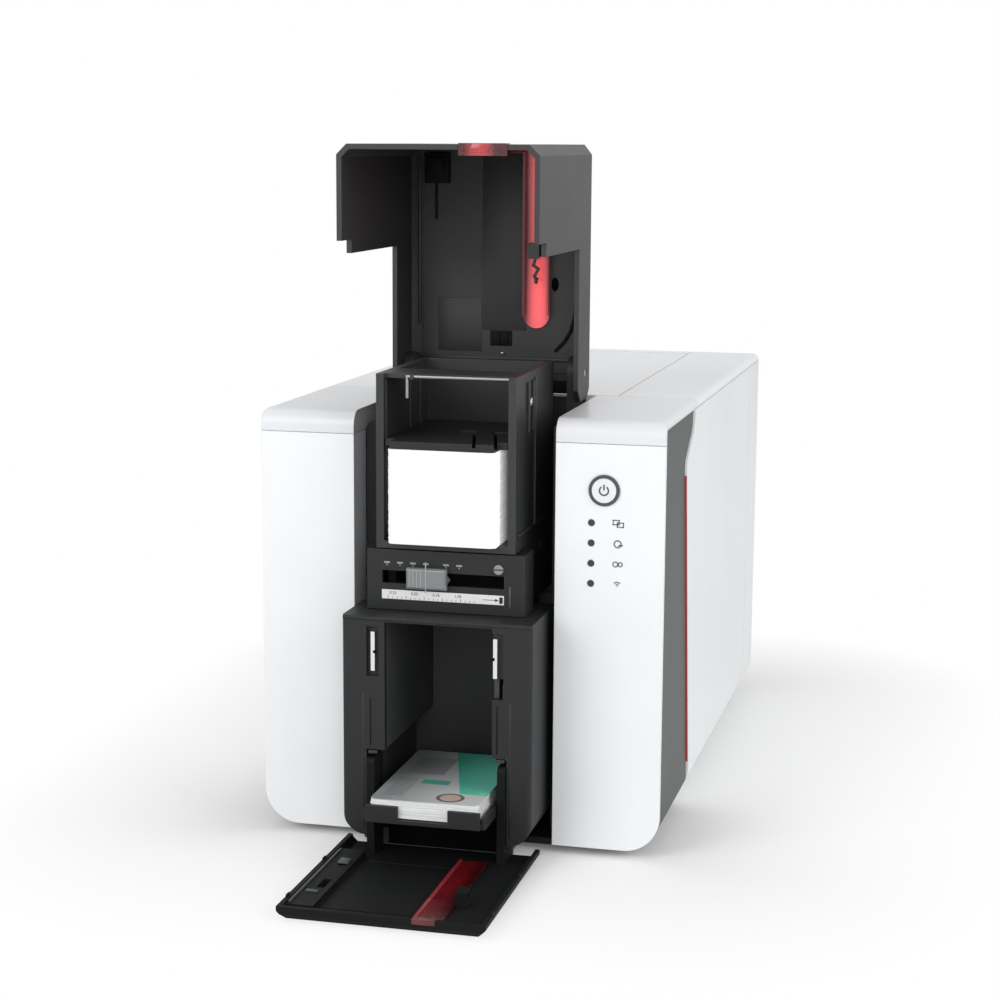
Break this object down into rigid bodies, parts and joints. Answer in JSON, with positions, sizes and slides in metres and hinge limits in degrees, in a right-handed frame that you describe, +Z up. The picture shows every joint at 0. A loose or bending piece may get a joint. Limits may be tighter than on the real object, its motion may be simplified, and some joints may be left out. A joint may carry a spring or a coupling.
{
  "type": "id card printer",
  "caption": "Desktop printer for plastic id cards, white case with a black card module whose feeder hood and output door stand open.",
  "frame": {"origin": "centre of the overall box on the table", "axes": "+Z up, +Y to the rear, +X to the right seen from the front"},
  "size_m": [0.205, 0.4752, 0.3496],
  "materials": {
    "white_shell": "satin white",
    "cap_shell": "satin light grey",
    "strip_plastic": "fine grain dark grey",
    "red_line": "gloss red",
    "black_plastic": "fine grain black",
    "bay_black": "fine grain black",
    "hood_black": "fine grain charcoal",
    "red_window": "tinted clear red",
    "label_white": "satin white film",
    "slider_grey": "fine grain grey",
    "card_stock": "gloss white",
    "card_print": "gloss print",
    "steel": "polished",
    "plate_steel": "zinc plated",
    "roller_rubber": "ground",
    "cleaning_rubber": "tacky",
    "foot_rubber": "moulded",
    "belt_rubber": "toothed",
    "bush_plastic": "natural",
    "pulley_metal": "turned",
    "ribbon_wound": "wound film",
    "head_metal": "machined",
    "board_green": "lacquered",
    "supply_case": "folded sheet",
    "light_lens": "clear lens",
    "button_silver": "satin silver",
    "ring_silver": "satin chrome",
    "port_metal": "plated"
  },
  "bodies": {
    "printer": {"base_pan": "plate_steel", "rubber_feet": "foot_rubber", "left_fascia": "white_shell", "right_fascia": "white_shell", "left_front_cap": "cap_shell", "right_front_cap": "cap_shell", "left_side_panel": "white_shell", "right_side_panel": "white_shell", "left_accent_strip": "strip_plastic", "right_accent_strip": "strip_plastic", "accent_lines": "red_line", "rear_cover": "white_shell", "top_right_rail": "cap_shell", "bay_liner": "bay_black", "hinge_pins": "steel", "feeder_frame": "black_plastic", "gauge_panel": "black_plastic", "gauge_label": "label_white", "output_box": "black_plastic", "output_chute": "bay_black", "door_keepers": "steel", "left_chassis_plate": "plate_steel", "right_chassis_plate": "plate_steel", "tie_rods": "steel", "main_board": "board_green", "power_supply": "supply_case", "power_inlet": "bay_black", "data_ports": "port_metal", "case_screws": "steel", "control_board": "board_green", "status_lights": "light_lens", "button_ring": "ring_silver", "drive_motor": "plate_steel", "roller_bushes": "bush_plastic", "drive_belt": "belt_rubber", "ribbon_film": "ribbon_wound"},
    "hood": {"hood_shell": "hood_black", "hood_window": "red_window", "hood_tab": "red_window", "hood_clip": "slider_grey"},
    "door": {"output_door": "black_plastic", "door_window": "red_window", "door_clip": "black_plastic"},
    "tray": {"output_tray": "black_plastic"},
    "printed_stack": {"printed_cards": "card_print"},
    "cover": {"top_cover": "white_shell", "head_carrier": "black_plastic", "print_head": "head_metal"},
    "gauge_slide": {"gauge_slider": "slider_grey"},
    "button": {"power_button": "button_silver"},
    "weight": {"card_weight": "black_plastic"},
    "blank_stack": {"blank_cards": "card_stock"},
    "bail": {"feeder_bail": "steel"},
    "feed": {"feed_roller": "roller_rubber"},
    "drive": {"drive_roller": "roller_rubber"},
    "cleaner": {"cleaning_roller": "cleaning_rubber"},
    "platen": {"platen_roller": "roller_rubber"},
    "motor_shaft": {"motor_pulley": "pulley_metal"},
    "supply": {"supply_spool": "ribbon_wound"},
    "takeup": {"takeup_spool": "ribbon_wound"}
  },
  "joints": [
    {"name": "hood_hinge", "type": "hinge", "parent": "printer", "child": "hood", "pos_m": [-0.0028, -0.03395, 0.2325], "axis": [1, 0, 0], "range_deg": [0, 90]},
    {"name": "door_hinge", "type": "hinge", "parent": "printer", "child": "door", "pos_m": [-0.0028, -0.1332, 0.01825], "axis": [-1, 0, 0], "range_deg": [0, 90]},
    {"name": "tray_slide", "type": "slide", "parent": "printer", "child": "tray", "axis": [0, 1, 0], "range_m": [0, 0.0241]},
    {"name": "printed_lift", "type": "slide", "parent": "tray", "child": "printed_stack", "axis": [0, 0, 1], "range_m": [0, 0.015]},
    {"name": "cover_hinge", "type": "hinge", "parent": "printer", "child": "cover", "pos_m": [-0.02155, 0.22055, 0.2135], "axis": [-1, 0, 0], "range_deg": [0, 75]},
    {"name": "gauge_move", "type": "slide", "parent": "printer", "child": "gauge_slide", "axis": [1, 0, 0], "range_m": [-0.012, 0.02]},
    {"name": "button_press", "type": "slide", "parent": "printer", "child": "button", "axis": [0, 1, 0], "range_m": [0, 0.0015], "stiffness_N_per_m": 600},
    {"name": "weight_lift", "type": "slide", "parent": "printer", "child": "weight", "axis": [0, 0, 1], "range_m": [0, 0.014]},
    {"name": "blank_slide", "type": "slide", "parent": "printer", "child": "blank_stack", "axis": [0, 1, 0], "range_m": [-0.09, 0]},
    {"name": "bail_swing", "type": "hinge", "parent": "printer", "child": "bail", "pos_m": [0, -0.12515, 0.2381], "axis": [-1, 0, 0], "range_deg": [0, 90]},
    {"name": "feed_spin", "type": "hinge", "parent": "printer", "child": "feed", "pos_m": [-0.0028, -0.07145, 0.1482], "axis": [1, 0, 0], "continuous": true},
    {"name": "motor_spin", "type": "hinge", "parent": "printer", "child": "motor_shaft", "pos_m": [0.0352, 0.05255, 0.064], "axis": [1, 0, 0], "continuous": true},
    {"name": "drive_spin", "type": "hinge", "parent": "printer", "child": "drive", "pos_m": [-0.0028, 0.00755, 0.15], "axis": [1, 0, 0], "continuous": true},
    {"name": "cleaner_spin", "type": "hinge", "parent": "printer", "child": "cleaner", "pos_m": [-0.0028, 0.00755, 0.1668], "axis": [1, 0, 0], "continuous": true},
    {"name": "platen_spin", "type": "hinge", "parent": "printer", "child": "platen", "pos_m": [-0.0028, 0.10255, 0.148], "axis": [1, 0, 0], "continuous": true},
    {"name": "supply_spin", "type": "hinge", "parent": "printer", "child": "supply", "pos_m": [-0.0028, 0.14955, 0.187], "axis": [1, 0, 0], "continuous": true},
    {"name": "takeup_spin", "type": "hinge", "parent": "printer", "child": "takeup", "pos_m": [-0.0028, 0.05555, 0.187], "axis": [1, 0, 0], "continuous": true}
  ],
  "couplings": [
    {"joint": "tray_slide", "follows": "door_hinge", "m_per_rad": 0.015279},
    {"joint": "motor_spin", "follows": "platen_spin", "ratio": 1.8333},
    {"joint": "drive_spin", "follows": "platen_spin", "ratio": 1.2222},
    {"joint": "cleaner_spin", "follows": "platen_spin", "ratio": -1.2222},
    {"joint": "takeup_spin", "follows": "supply_spin", "ratio": 1.4}
  ]
}
